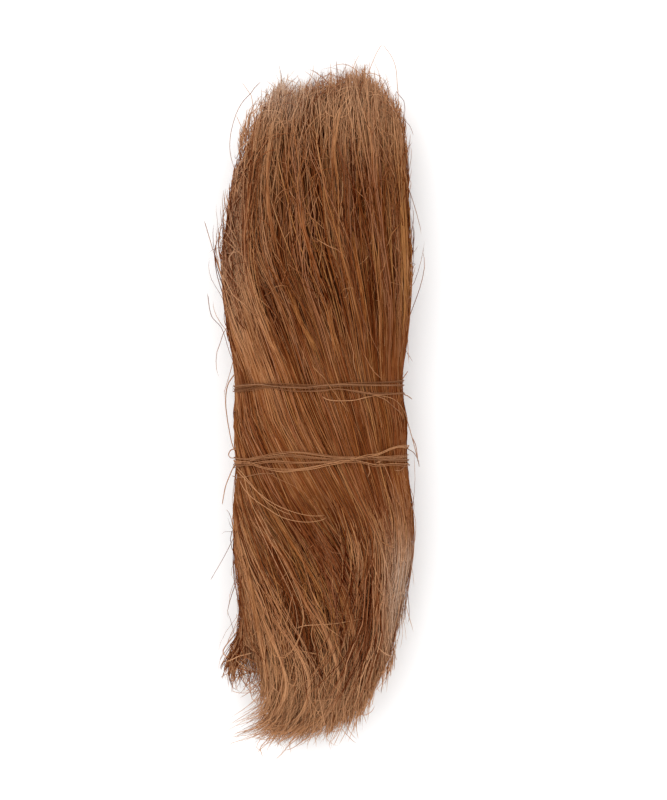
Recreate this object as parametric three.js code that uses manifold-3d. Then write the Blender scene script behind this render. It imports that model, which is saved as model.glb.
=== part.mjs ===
// A hank of combed coir, the long bristle fibre of coconut husk, lying on its side.
// One bunch of fibre is held near its middle by two ties, each a few long fibres wound round
// it and knotted at the right-hand side. Millimetres. +Y runs along the hank towards its
// squarer end, +X is to the right seen from above, +Z is up. The hank lies on Z = 0.
import * as THREE from "three";
import { mergeVertices } from "three/addons/utils/BufferGeometryUtils.js";
import Module from "manifold-3d";

const wasm = await Module();
wasm.setup();

// ---- driving dimensions -------------------------------------------------------------

// The bunch, station by station: y, middle x, half width, underside z, crown z.
const STATIONS = [
  [128, 5.4, 22.0, 0.0, 32.0],
  [118, 4.4, 26.0, 0.0, 35.5],
  [104, 2.2, 30.2, 0.0, 39.5],
  [80, 0.2, 34.6, 0.0, 43.5],
  [56, -1.2, 37.0, 0.0, 45.0],
  [32, -0.6, 35.8, 0.0, 43.8],
  [10, -0.4, 32.6, 2.2, 41.2],
  [0, -0.3, 32.6, 2.2, 41.2],
  [-10, 0.2, 34.2, 1.4, 42.2],
  [-17, 0.4, 33.4, 2.2, 41.4],
  [-31, 0.6, 33.4, 2.2, 41.4],
  [-44, 1.0, 35.2, 0.0, 43.4],
  [-60, 1.2, 35.0, 0.0, 43.6],
  [-80, 0.8, 32.4, 0.0, 41.6],
  [-96, -0.8, 31.0, 0.0, 38.4],
  [-112, -1.8, 26.6, 0.0, 33.6],
  [-128, -6.0, 21.5, 0.0, 27.0],
];
// How far the bunch has turned about its own length, in radians, from the squarer end.
const TURN = [
  [130, 0.0],
  [100, 0.0],
  [60, -0.1],
  [20, -0.37],
  [-20, -0.81],
  [-60, -1.4],
  [-100, -1.78],
  [-130, -1.8],
];
// Where the fibre tips end, against x: the ragged outline of each end of the hank.
const UPPER_TIPS = [
  [-32, 106],
  [-26, 115],
  [-18, 123],
  [-12, 124],
  [-5, 119],
  [4, 123],
  [15, 131],
  [24, 126],
  [33, 112],
];
const LOWER_TIPS = [
  [-36, -108],
  [-28, -116],
  [-22, -128],
  [-10, -134],
  [2, -132],
  [12, -128],
  [22, -118],
  [30, -104],
];
// Moves the hank so that the middle of its bounding box, at the floor, is the origin.
const CENTRING = [0.95, 2.0, 0];
const SQUARENESS = { crown: 0.94, underside: 0.78 }; // 1 is an ellipse, less is squarer
const SQUAT = 0.46; // the widest line's height, as a share of the hank's height
const FLAT_SINK = 1.3; // how deep the underside is pressed flat where it lies
const COLUMNS = 144; // crests and furrows alternate round the bunch
const FURROW = 0.95; // mean height of a crest above its furrows
const TIED_FURROW = 0.4; // the same where the ties press it smooth
const ROWS = [
  100, 89, 78, 67, 56, 45, 34, 24, 15, 9, 1, -6, -11, -17, -31, -38, -48, -59, -70, -81,
  -91,
];
const TIP_DEPTH = 13; // how far the gaps between tips reach back into an end
const TIP_SPREAD = 7; // how unevenly the tips end
const END_Y = 112; // where an end's section is read to place its tips

const TIE_GAP = 0.3; // between a tie and the crests under it
const TIE_FIBRE = 0.42; // half the thickness of one turn of a tie
const TURN_STEPS = 38; // straight steps in one turn
const TAIL_STEPS = 8; // and in one tail
const KNOT_ANGLE = -24; // degrees round the hank from its right-hand side
const KNOT_PITCH = 0.75; // between turns where they run into the knot

// A turn's shift along the hank from the middle of its tie, in mm, at these angles.
const TURN_ANGLES = [0, 60, 90, 120, 180, 270];
// A tail leaves its turn at an angle and runs on through [angle, shift, height over turns].
const TIES = [
  {
    name: "upper_tie",
    y: 5,
    turns: [
      [1.9, 1.5, 1.5, 1.6, 1.5, 1.5],
      [0.9, 0.5, 0.5, 0.5, 0.5, 0.5],
      [-1.0, -0.6, -0.5, -0.6, -1.6, -0.5],
      [-2.4, -1.7, -1.6, -1.7, -0.5, -1.5],
    ],
    tails: [
      { turn: 3, from: 62, run: [[44, -3.0, 0.2], [26, -5.2, 0.8], [8, -9.5, 1.8], [-4, -15, 3]] },
      { turn: 0, from: 30, run: [[20, 2.8, 0.6], [10, 1.8, 2.2], [2, 0.4, 4.2]] },
    ],
  },
  {
    name: "lower_tie",
    y: -24,
    turns: [
      [1.4, 1.5, 3.2, 2.6, 1.2, 1.9],
      [0.2, 0.5, 2.0, 1.5, 0.2, 0.9],
      [-0.9, -0.6, -0.3, -0.4, -1.0, -0.1],
      [4.6, 2.6, -2.4, -3.3, -2.2, -1.1],
      [-2.4, -1.8, -3.6, -5.0, -6.4, -2.1],
    ],
    tails: [
      { turn: 3, from: 20, run: [[8, 5.6, 0.8], [0, 4.4, 2.8], [-6, 1.6, 4.6]] },
      { turn: 2, from: 34, run: [[24, 0.2, 0.3], [14, -0.6, 0.9], [6, -0.2, 2.4]] },
      { turn: 4, from: 160, run: [[168, -7.8, 0.6], [176, -11, 1.8], [182, -16, 3.4]] },
    ],
  },
];

// Wisps that leave the bunch early, as points [x, y, z] with the thickness at the root.
const WISPS = [
  { thick: 5.2, at: [[-24, -78, 19], [-30, -92, 16], [-34, -103, 13], [-38.5, -113, 10]] },
  { thick: 4.2, at: [[-25, -74, 14], [-30, -90, 11], [-33, -102, 8], [-35, -111, 5]] },
  { thick: 4.4, at: [[-12, -100, 12], [-18, -116, 9], [-24, -127, 7], [-31, -131, 5]] },
  { thick: 4.0, at: [[-4, -104, 22], [-9, -120, 17], [-14, -130, 14], [-22, -137, 11]] },
  { thick: 3.8, at: [[12, 92, 32], [14, 108, 31], [17, 121, 29], [21, 133, 28]] },
  { thick: 3.6, at: [[-17, 88, 28], [-18, 104, 27], [-19, 116, 26], [-22, 127, 25]] },
];
const LOOSE_AT_ENDS = 26; // loose fibre tips that stand out past each end
const LOOSE_ON_SIDES = 26; // loose fibre tips that lift off all round the bunch
const LOOSE_FIBRE = 0.45; // half the thickness of a loose fibre at its root

const COIR = new THREE.MeshStandardMaterial({ color: 0x82542e, roughness: 0.72 });
const TIE_COIR = new THREE.MeshStandardMaterial({ color: 0x946238, roughness: 0.68 });

// ---- small helpers ------------------------------------------------------------------

const radians = THREE.MathUtils.degToRad;
const lerp = THREE.MathUtils.lerp;

// Seeded random numbers from 0 to 1, alike in each run.
function seeded(seed) {
  let state = seed;
  return () => {
    state = (state + 0x6d2b79f5) | 0;
    let t = Math.imul(state ^ (state >>> 15), 1 | state);
    t = (t + Math.imul(t ^ (t >>> 7), 61 | t)) ^ t;
    return ((t ^ (t >>> 14)) >>> 0) / 4294967296;
  };
}

// A smooth function through rows [at, value...], held level past both ends.
function smoothTable(rows, column = 1) {
  const points = rows.map((row) => [row[0], row[column]]).sort((a, b) => a[0] - b[0]);
  const slope = (i) => {
    const before = points[Math.max(i - 1, 0)];
    const after = points[Math.min(i + 1, points.length - 1)];
    return (after[1] - before[1]) / (after[0] - before[0]);
  };
  return (at) => {
    if (at <= points[0][0]) return points[0][1];
    if (at >= points.at(-1)[0]) return points.at(-1)[1];
    const i = points.findIndex((p) => p[0] > at) - 1;
    const span = points[i + 1][0] - points[i][0];
    const t = (at - points[i][0]) / span;
    const rise = points[i + 1][1] - points[i][1];
    const bend = (t - 1) * (t - 1) * slope(i) * span + t * (t - 1) * slope(i + 1) * span;
    return points[i][1] + t * t * (3 - 2 * t) * rise + t * bend;
  };
}

const middleX = smoothTable(STATIONS, 1);
const halfWidth = smoothTable(STATIONS, 2);
const underside = smoothTable(STATIONS, 3);
const crown = smoothTable(STATIONS, 4);
const turnAt = smoothTable(TURN);
const upperTip = smoothTable(UPPER_TIPS);
const lowerTip = smoothTable(LOWER_TIPS);

// A point of the cross-section at y: share 1 is the bunch's surface and 0 its middle line,
// and lift is added outwards. The underside is squarer than the crown, and what would lie
// more than drop below its level is pressed flat at that level.
function sectionPoint(y, angle, share = 1, lift = 0, drop = 0) {
  const c = Math.cos(angle);
  const s = Math.sin(angle);
  const low = underside(y);
  const height = crown(y) - low;
  const middleZ = low + SQUAT * height;
  const squareness = s > 0 ? SQUARENESS.crown : SQUARENESS.underside;
  const reach = s > 0 ? (1 - SQUAT) * height : SQUAT * height + FLAT_SINK;
  const bulge = (v) => Math.sign(v) * Math.abs(v) ** squareness;
  const x = middleX(y) + bulge(c) * (halfWidth(y) * share + lift);
  const z = middleZ + bulge(s) * (reach * share + lift);
  return new THREE.Vector3(x, y, Math.max(z, low - drop));
}

// ---- solids -------------------------------------------------------------------------

function geometryOf(positions, faces) {
  const geometry = new THREE.BufferGeometry();
  geometry.setAttribute("position", new THREE.Float32BufferAttribute(positions, 3));
  return geometry.setIndex(faces);
}

function solidOf(geometry) {
  const bare = new THREE.BufferGeometry();
  bare.setAttribute("position", geometry.getAttribute("position"));
  bare.setIndex(geometry.index);
  const merged = mergeVertices(bare, 1e-4);
  const mesh = new wasm.Mesh({
    numProp: 3,
    vertProperties: merged.attributes.position.array,
    triVerts: new Uint32Array(merged.index.array),
  });
  return new wasm.Manifold(mesh);
}

function meshOf(solid, name, material) {
  const made = solid.getMesh();
  const geometry = geometryOf(Array.from(made.vertProperties), Array.from(made.triVerts));
  const mesh = new THREE.Mesh(geometry, material);
  mesh.name = name;
  return mesh;
}

// The same line with count rounded steps in place of its corners.
function rounded(points, count) {
  return new THREE.CatmullRomCurve3(points, false, "centripetal").getPoints(count);
}

// One strand along a line of points, closed to a point at each end. Its rings turn no
// more than the line does.
function strand(points, radiusAt, sides) {
  const positions = [...points[0].toArray()];
  const rings = points.length - 2;
  let across = new THREE.Vector3(0.3, 0.2, 1);
  for (let i = 1; i <= rings; i++) {
    const along = points[i + 1].clone().sub(points[i - 1]).normalize();
    across = across.clone().addScaledVector(along, -across.dot(along)).normalize();
    const beside = along.clone().cross(across);
    for (let j = 0; j < sides; j++) {
      const a = (2 * Math.PI * j) / sides;
      const radius = radiusAt(i / (rings + 1));
      const at = points[i].clone().addScaledVector(across, radius * Math.cos(a));
      positions.push(...at.addScaledVector(beside, radius * Math.sin(a)).toArray());
    }
  }
  positions.push(...points.at(-1).toArray());
  const last = positions.length / 3 - 1;
  const faces = [];
  for (let j = 0; j < sides; j++) {
    const k = (j + 1) % sides;
    faces.push(0, 1 + k, 1 + j);
    for (let i = 0; i < rings - 1; i++) {
      const ring = 1 + i * sides;
      faces.push(ring + j, ring + k, ring + sides + j);
      faces.push(ring + k, ring + sides + k, ring + sides + j);
    }
    faces.push(last, last - sides + j, last - sides + k);
  }
  return solidOf(geometryOf(positions, faces));
}

// Solids joined, less the specks that are left where strands only just touch.
function joined(pieces) {
  const bodies = wasm.Manifold.union(pieces).decompose();
  return bodies.reduce((a, b) => (a.volume() > b.volume() ? a : b));
}

// ---- the bunch ----------------------------------------------------------------------

// How freely the fibre lies at y: 0 where a tie presses it, 1 well away from the ties.
function looseness(y) {
  const away = Math.min(...TIES.map((tie) => Math.abs(y - tie.y)));
  return THREE.MathUtils.smoothstep(away, 7, 34);
}

// The rings of one end, from the rim inwards: share of the section, number of vertices,
// and whether every other vertex is a tip. The others lie at the foot of the gaps.
const END_RINGS = [
  [0.92, 72, false],
  [0.84, 72, true],
  [0.75, 72, false],
  [0.66, 72, true],
  [0.56, 36, false],
  [0.46, 36, true],
  [0.34, 18, false],
  [0.23, 18, true],
  [0.11, 9, false],
];

function bunchBody() {
  const random = seeded(71);
  const positions = [];
  const faces = [];
  const crest = Array.from({ length: COLUMNS }, () => 0.55 + 0.9 * random());
  const phase = Array.from({ length: COLUMNS }, () => 2 * Math.PI * random());
  const relief = (j, y) => {
    const height = lerp(TIED_FURROW, FURROW, looseness(y));
    const wave = 1 + 0.3 * Math.sin(y / 17 + phase[j]);
    return j % 2 ? -height * 0.5 : height * 0.5 * crest[j] * wave;
  };
  const wander = (angle, y) =>
    0.035 * looseness(y) * Math.sin(3 * angle + y / 23) * Math.sin(5 * angle - y / 31);
  const columnAngle = (j) => (2 * Math.PI * j) / COLUMNS;

  // A ring of vertices in one end, with its tips at the end's outline.
  function endRing(upper, share, count, tipped) {
    const start = positions.length / 3;
    const outline = upper ? upperTip : lowerTip;
    const side = upper ? 1 : -1;
    for (let j = 0; j < count; j++) {
      const isTip = tipped && j % 2 === 0;
      const angle = (2 * Math.PI * j) / count + (random() - 0.5) * (isTip ? 1.1 : 0.5) / count;
      const spread = share + (isTip ? 0.05 : -0.02) * (random() + 0.3);
      const rough = sectionPoint(side * END_Y, angle + turnAt(side * END_Y), spread);
      const tipY = outline(rough.x) + side * TIP_SPREAD * (random() - 0.7);
      const y = isTip ? tipY : tipY - side * TIP_DEPTH * (0.75 + 0.4 * random());
      const at = sectionPoint(y, angle + turnAt(y), spread);
      positions.push(at.x, at.y, at.z);
    }
    return { start, count };
  }

  // Faces between two rings. The inner ring has as many vertices, or half as many.
  function join(outer, inner, facing) {
    const face = (a, b, c) => faces.push(...(facing > 0 ? [a, b, c] : [a, c, b]));
    const at = (ring, j) => ring.start + (j % ring.count);
    for (let j = 0; j < inner.count; j++) {
      if (outer.count === inner.count) {
        face(at(outer, j), at(outer, j + 1), at(inner, j));
        face(at(outer, j + 1), at(inner, j + 1), at(inner, j));
      } else {
        face(at(outer, 2 * j), at(outer, 2 * j + 1), at(inner, j));
        face(at(outer, 2 * j + 1), at(inner, j + 1), at(inner, j));
        face(at(outer, 2 * j + 1), at(outer, 2 * j + 2), at(inner, j + 1));
      }
    }
  }

  function closeEnd(rim, upper) {
    const facing = upper ? -1 : 1;
    let outer = rim;
    for (const [share, count, tipped] of END_RINGS) {
      const inner = endRing(upper, share, count, tipped);
      join(outer, inner, facing);
      outer = inner;
    }
    const side = upper ? 1 : -1;
    const middle = positions.length / 3;
    const tip = sectionPoint(side * END_Y, 0, 0);
    positions.push(tip.x, (upper ? upperTip : lowerTip)(tip.x), tip.z);
    for (let j = 0; j < outer.count; j++) {
      const a = outer.start + j;
      const b = outer.start + ((j + 1) % outer.count);
      faces.push(...(facing > 0 ? [a, b, middle] : [b, a, middle]));
    }
  }

  const upperRim = endRing(true, 0.99, COLUMNS, true);
  let above = upperRim;
  for (const y of ROWS) {
    const ring = { start: positions.length / 3, count: COLUMNS };
    for (let j = 0; j < COLUMNS; j++) {
      const angle = columnAngle(j) + turnAt(y);
      const at = sectionPoint(y, angle + wander(angle, y), 1, relief(j, y));
      positions.push(at.x, at.y, at.z);
    }
    join(above, ring, 1);
    above = ring;
  }
  const lowerRim = endRing(false, 0.99, COLUMNS, true);
  join(above, lowerRim, 1);
  closeEnd(upperRim, true);
  closeEnd(lowerRim, false);
  return solidOf(geometryOf(positions, faces));
}

// A loose fibre, from a root under the surface at (y, angle), leaning outwards as it goes.
function looseFibre(y, angle, length, lean, side, random) {
  const points = [0, 0.34, 0.68, 1].map((t) => {
    const alongY = y + side * length * t * Math.cos(lean * t);
    const lift = -3 + (3 + length * Math.sin(lean)) * t ** 1.5;
    const sway = (random() - 0.5) * 0.1 * t;
    return sectionPoint(alongY, angle + turnAt(alongY) + sway, 1, lift);
  });
  return strand(rounded(points, 4), (t) => lerp(LOOSE_FIBRE, 0.3, t), 3);
}

function looseFibres() {
  const random = seeded(19);
  const made = [];
  for (const side of [1, -1]) {
    for (let i = 0; i < LOOSE_AT_ENDS; i++) {
      const angle = (2 * Math.PI * (i + 0.6 * random())) / LOOSE_AT_ENDS;
      const root = side > 0 ? 92 + 8 * random() : -92 - 8 * random();
      made.push(looseFibre(root, angle, 24 + 10 * random(), 0.1 + 0.16 * random(), side, random));
    }
  }
  for (let i = 0; i < LOOSE_ON_SIDES; i++) {
    const angle = 2 * Math.PI * ((i * 0.618034) % 1);
    const side = i % 2 ? 1 : -1;
    const root = side > 0 ? 28 + 50 * random() : -46 - 34 * random();
    made.push(looseFibre(root, angle, 22 + 12 * random(), 0.1 + 0.12 * random(), side, random));
  }
  return made;
}

function wisp({ thick, at }) {
  const points = at.map((p) => new THREE.Vector3(...p));
  return strand(rounded(points, 6), (t) => (thick / 2) * (1 - t) ** 0.7 + 0.15, 5);
}

// Nothing reaches below the surface the hank lies on.
function trimmedAtFloor(solid) {
  const floor = solidOf(new THREE.BoxGeometry(400, 600, 40).translate(0, 0, -20));
  return solid.subtract(floor);
}

function bunch() {
  const pieces = [bunchBody(), ...WISPS.map(wisp), ...looseFibres()];
  return joined([trimmedAtFloor(joined(pieces))]);
}

// ---- the ties -----------------------------------------------------------------------

// A point on a tie: clear of the crests under it by the tie's gap, with out added to that.
function tiePoint(tie, angle, shift, out = 0) {
  const y = tie.y + shift;
  const crests = lerp(TIED_FURROW, FURROW, looseness(y));
  const lift = crests + TIE_GAP + TIE_FIBRE + out;
  return sectionPoint(y, radians(angle), 1, lift, lift);
}

// The shift of one turn at any angle. Turns lie side by side where they run into the knot.
function turnShift(tie, turn) {
  const rows = TURN_ANGLES.map((angle, i) => [angle, tie.turns[turn][i]]);
  const atKnot = (turn - (tie.turns.length - 1) / 2) * -KNOT_PITCH;
  return smoothTable([[KNOT_ANGLE, atKnot], ...rows, [KNOT_ANGLE + 360, atKnot]]);
}

function tieTurn(tie, turn) {
  const shiftAt = turnShift(tie, turn);
  const points = [];
  for (let i = 0; i <= TURN_STEPS; i++) {
    const angle = KNOT_ANGLE + (360 * i) / TURN_STEPS;
    points.push(tiePoint(tie, angle, shiftAt(angle)));
  }
  return strand(points, () => TIE_FIBRE, 4);
}

function tieTail(tie, { turn, from, run }) {
  const steps = [[from, turnShift(tie, turn)(from), 0], ...run];
  const along = [0, 1, 2].map((k) => smoothTable(steps.map((step, i) => [i, step[k]])));
  const points = [];
  for (let i = 0; i <= TAIL_STEPS; i++) {
    const t = (i / TAIL_STEPS) * run.length;
    points.push(tiePoint(tie, along[0](t), along[1](t), along[2](t)));
  }
  return strand(points, (t) => lerp(TIE_FIBRE, 0.3, t), 4);
}

// A small knot, drawn down onto the turns where they meet.
function tieKnot(tie) {
  const loops = new THREE.TorusKnotGeometry(1.2, 0.55, 20, 4, 2, 3);
  loops.rotateY(Math.PI / 2);
  loops.scale(0.8, 1.15, 1.15);
  const at = tiePoint(tie, KNOT_ANGLE, 0, 0.8);
  return solidOf(loops.translate(at.x, at.y, at.z));
}

function tieSolid(tie) {
  const turns = tie.turns.map((_, turn) => tieTurn(tie, turn));
  const tails = tie.tails.map((tail) => tieTail(tie, tail));
  return joined([...turns, ...tails, tieKnot(tie)]);
}

// ---- the hank -----------------------------------------------------------------------

const hank = new THREE.Group();
hank.position.set(...CENTRING);
hank.add(meshOf(bunch(), "fibre_bunch", COIR));
for (const tie of TIES) hank.add(meshOf(tieSolid(tie), tie.name, TIE_COIR));

export default hank;
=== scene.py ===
"""A hank of combed coconut-husk fibre (coir), lying on its side and held by two ties.

The long fibres, the locks at both ends, the loose hairs and the turns of both ties are
modelled fibre by fibre round a dark inner body. Lengths below are in millimetres, in the
hank's own frame: +Y along it towards its squarer end, +X to the right, +Z up, the floor
at Z = 0. Meshes are written in metres. Angles go round the hank from its right-hand
side by way of the top, and a side is 1 for the upper end and -1 for the lower end.
"""
import math
import bmesh
import bpy
import numpy as np
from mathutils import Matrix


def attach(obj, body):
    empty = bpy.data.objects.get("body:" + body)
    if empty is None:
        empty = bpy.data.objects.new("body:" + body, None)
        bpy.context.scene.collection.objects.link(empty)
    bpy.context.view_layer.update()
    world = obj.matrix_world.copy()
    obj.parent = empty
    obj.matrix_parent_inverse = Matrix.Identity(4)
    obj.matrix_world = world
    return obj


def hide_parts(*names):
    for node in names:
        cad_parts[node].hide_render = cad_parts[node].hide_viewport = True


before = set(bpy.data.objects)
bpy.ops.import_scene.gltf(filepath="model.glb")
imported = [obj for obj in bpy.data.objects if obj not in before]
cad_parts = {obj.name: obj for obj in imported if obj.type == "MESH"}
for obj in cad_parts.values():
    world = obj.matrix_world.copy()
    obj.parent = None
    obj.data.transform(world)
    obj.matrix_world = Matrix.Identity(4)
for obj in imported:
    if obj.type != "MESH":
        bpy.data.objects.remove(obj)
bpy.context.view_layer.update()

# ---- sizes --------------------------------------------------------------------------

MM = 0.001
CENTRING = np.array([0.95, 2.0, 0.0])  # moves the hank's middle onto the frame's origin

# The bunch, station by station: y, middle x, half width, underside z, crown z.
STATIONS = [
    (128, 2.6, 29.0, 0.0, 33.0),
    (118, 2.0, 31.4, 0.0, 36.0),
    (104, 1.0, 33.4, 0.0, 39.5),
    (80, 0.2, 34.9, 0.0, 43.5),
    (56, -0.9, 36.8, 0.0, 45.0),
    (32, -0.6, 36.1, 0.0, 43.8),
    (18, -0.8, 34.8, 1.4, 42.0),
    (8, -0.5, 33.3, 2.2, 41.2),
    (0, -0.5, 33.7, 2.2, 41.2),
    (-9, -0.2, 35.3, 1.4, 42.2),
    (-17, 0.2, 34.5, 2.2, 41.4),
    (-24, 0.5, 34.1, 2.2, 41.4),
    (-32, 0.6, 35.0, 2.2, 41.4),
    (-44, 0.9, 35.8, 0.0, 43.4),
    (-60, 1.2, 35.0, 0.0, 43.6),
    (-80, 0.8, 32.4, 0.0, 41.6),
    (-96, 0.0, 31.4, 0.0, 38.4),
    (-112, -1.2, 28.8, 0.0, 33.6),
    (-128, -1.0, 25.6, 0.0, 28.0),
]
# How far the bunch has turned about its own length, in radians, against y.
TURN = [
    (130, 0.0), (104, 0.0), (60, -0.17), (20, -0.5), (-20, -0.88), (-60, -1.44),
    (-100, -1.8), (-130, -1.82),
]
# Where the fibre tips end, against x, at each end of the hank.
UPPER_TIPS = [
    (-36, 77), (-32, 91), (-28, 103.5), (-24, 113.5), (-20, 120), (-16, 124.5), (-12, 123),
    (-8, 122.5), (-4, 124), (0, 126), (8, 127), (12, 129), (18, 129), (24, 124), (28, 119),
    (32, 112), (36, 98),
]
LOWER_TIPS = [
    (-33, -103), (-29, -109), (-25, -112.5), (-22.5, -120), (-18, -129), (-12, -134), (-5, -136),
    (3, -134.5), (10, -131.5), (15.5, -129), (19.6, -122), (21.8, -114.5), (26.2, -104), (31, -90),
]
# The deepest grooves between locks towards each end: angle in degrees, depth, and painted shade.
GROOVES = {
    1: [(97, 3.4, 0.42), (76, 2.2, 0.25), (126, 2.4, 0.25)],
    -1: [(84, 2.4, 0.24), (104, 3.0, 0.26), (64, 2.4, 0.2), (122, 2.8, 0.26)],
}
TIE_Y = {"upper": 5.0, "lower": -24.0}
WAIST_Y = sum(TIE_Y.values()) / 2  # midway between the ties
PARTING_Y = -10.0  # loose hair on either side of it mostly runs out to its own end
TIPS_Y = 112.0  # where an end's section is read to place the tips of its fibres
SQUARENESS_CROWN = 0.94  # 1 is an ellipse, less is squarer
SQUARENESS_UNDERSIDE = 0.78
SQUAT = 0.46  # the widest line's height, as a share of the hank's height
SHORTEST = 8.0  # the least length that a fibre keeps where the outlines cut it
FLAT_SINK = 1.3  # how deep the underside is pressed flat where it lies
LEAN_BIAS = 0.65  # how much more the fibre turns on the left than on the right
FLOOR_GAP = 0.02  # the least height of any fibre's skin over the floor

# The strip that each fibre has for itself in the second map.
STRIP_SHAPE = 6  # how many times as long as it is wide
STRIP_GAP = 0.15  # at each side of it
STRIP_END_GAP = 0.04  # at each end of it

# ---- small helpers ------------------------------------------------------------------


def smooth_table(rows, column=1):
    """A smooth function through rows (at, value, ...), level past both ends."""
    rows = sorted(rows)
    at = np.array([row[0] for row in rows], float)
    value = np.array([row[column] for row in rows], float)
    before = np.maximum(np.arange(len(at)) - 1, 0)
    after = np.minimum(np.arange(len(at)) + 1, len(at) - 1)
    slope = (value[after] - value[before]) / (at[after] - at[before])

    def function(x):
        x = np.clip(x, at[0], at[-1])
        i = np.clip(np.searchsorted(at, x, side="right") - 1, 0, len(at) - 2)
        span = at[i + 1] - at[i]
        t = (x - at[i]) / span
        rise = value[i + 1] - value[i]
        bend = (t - 1) ** 2 * t * slope[i] * span + (t - 1) * t * t * slope[i + 1] * span
        return value[i] + t * t * (3 - 2 * t) * rise + bend

    return function


def ramp(low, high, x):
    """0 at low, 1 at high, which may be the smaller of the two, and smooth between them."""
    t = np.clip((x - low) / (high - low), 0.0, 1.0)
    return t * t * (3 - 2 * t)


def unit(vectors):
    return vectors / np.maximum(np.linalg.norm(vectors, axis=-1, keepdims=True), 1e-9)


def ring_places(rings):
    """From 0 to 1 along a fibre of this many rings."""
    return np.linspace(0, 1, rings + 1)[None, :]


middle_x, half_width, underside, crown = (smooth_table(STATIONS, k) for k in (1, 2, 3, 4))
turn_at = smooth_table(TURN)
upper_tip, lower_tip = smooth_table(UPPER_TIPS), smooth_table(LOWER_TIPS)


def tip_at(side, x):
    """Where the outline of one end lies."""
    return upper_tip(x) if side > 0 else lower_tip(x)


def looseness(y):
    """0 where a tie presses the fibre, 1 well away from both ties."""
    return ramp(7, 34, np.minimum(*(np.abs(y - tie) for tie in TIE_Y.values())))


def bulge(value, squareness):
    """A sine or cosine, pushed outwards to make an ellipse squarer."""
    return np.sign(value) * np.abs(value) ** squareness


def section(y, angle, share=1.0, lift=0.0):
    """Points of the hank: share 1 is its surface and 0 its middle line, lift adds outwards."""
    c, s = np.cos(angle), np.sin(angle)
    low = underside(y)
    height = crown(y) - low
    squareness = np.where(s > 0, SQUARENESS_CROWN, SQUARENESS_UNDERSIDE)
    reach = np.where(s > 0, (1 - SQUAT) * height, SQUAT * height + FLAT_SINK)
    x = middle_x(y) + bulge(c, squareness) * (half_width(y) * share + lift)
    z = low + SQUAT * height + bulge(s, squareness) * (reach * share + lift)
    return np.stack([x, y + 0 * x, z], axis=-1)


def crown_height(x, y):
    """The height of the hank's upper surface over a point of the floor."""
    low = underside(y)
    height = crown(y) - low
    across = np.clip(np.abs(x - middle_x(y)) / half_width(y), 0, 1)
    s = np.sqrt(1 - across ** (2 / SQUARENESS_CROWN))
    return low + SQUAT * height + s**SQUARENESS_CROWN * (1 - SQUAT) * height


def arc_speed(y, angle):
    """About how many millimetres of surface there are to a radian, never under 4."""
    c, s = np.cos(angle), np.sin(angle)
    high = np.where(s > 0, 1 - SQUAT, SQUAT) * (crown(y) - underside(y))
    return np.sqrt((half_width(y) * s) ** 2 + (high * c) ** 2) + 4.0


# The fibre turns faster on the left than on the right. A fibre keeps its phase, which is
# the integral of 1 / speed over the angle, while the whole bunch turns.
ANGLES = np.linspace(-3 * math.tau, 3 * math.tau, 12001)
PHASES = np.cumsum(np.diff(ANGLES, prepend=ANGLES[0]) / (1 - LEAN_BIAS * np.cos(ANGLES)))


def swept_angle(angle, at_y, y):
    """The angle at y of a fibre that passes angle at at_y."""
    phase = np.interp(angle, ANGLES, PHASES) + turn_at(y) - turn_at(at_y)
    return np.interp(phase, PHASES, ANGLES)


# ---- meshes -------------------------------------------------------------------------


def edit_mode(on):
    bpy.ops.object.mode_set(mode="EDIT" if on else "OBJECT")


def cylinder(sides, depth, rings, middle_z):
    """A cylinder along Z, left in edit mode and cut across into this many rings."""
    bpy.ops.object.select_all(action="DESELECT")
    bpy.ops.mesh.primitive_cylinder_add(
        vertices=sides, radius=1, depth=depth, location=(0, 0, middle_z)
    )
    obj = bpy.context.active_object
    bpy.ops.object.transform_apply(location=True)
    edit_mode(True)
    shape = bmesh.from_edit_mesh(obj.data)
    for edge in shape.edges:
        edge.select_set(abs(edge.verts[0].co.z - edge.verts[1].co.z) > 0.5)
    bpy.ops.mesh.subdivide(number_cuts=rings - 1)
    return obj


def places(mesh):
    return np.array([vertex.co[:] for vertex in mesh.vertices])


def fill(rows, name, values, kind=np.float32):
    """Sets one property of all the rows of a mesh's data at once."""
    rows.foreach_set(name, np.asarray(values).astype(kind).ravel())


def set_points(mesh, points):
    """Puts a mesh's vertices at points of the hank's own frame, in mm."""
    fill(mesh.vertices, "co", (points + CENTRING) * MM)


def set_map(layer, u, v):
    fill(layer.uv, "vector", np.stack([u, v], axis=-1))


class Template:
    """A straight fibre of radius 1, one unit long for each ring, pointed at both ends."""

    def __init__(self, sides, rings):
        obj = cylinder(sides, rings, rings, rings / 2)
        for end in (0, rings):
            shape = bmesh.from_edit_mesh(obj.data)
            bpy.ops.mesh.select_all(action="DESELECT")
            for vertex in shape.verts:
                vertex.select_set(abs(vertex.co.z - end) < 0.01)
            shape.select_flush_mode()
            bpy.ops.mesh.merge(type="CENTER")
        edit_mode(False)
        mesh = obj.data
        at = places(mesh)
        self.rings = rings
        self.ring = np.rint(at[:, 2]).astype(int)
        self.turn = (np.arctan2(at[:, 1], at[:, 0]) / math.tau) % 1.0
        self.thick = np.minimum(np.hypot(at[:, 0], at[:, 1]), 1.0)
        self.corners = np.concatenate([list(p.vertices) for p in mesh.polygons])
        self.sizes = np.array([len(p.vertices) for p in mesh.polygons])
        bpy.data.objects.remove(obj)
        bpy.data.meshes.remove(mesh)


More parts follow.
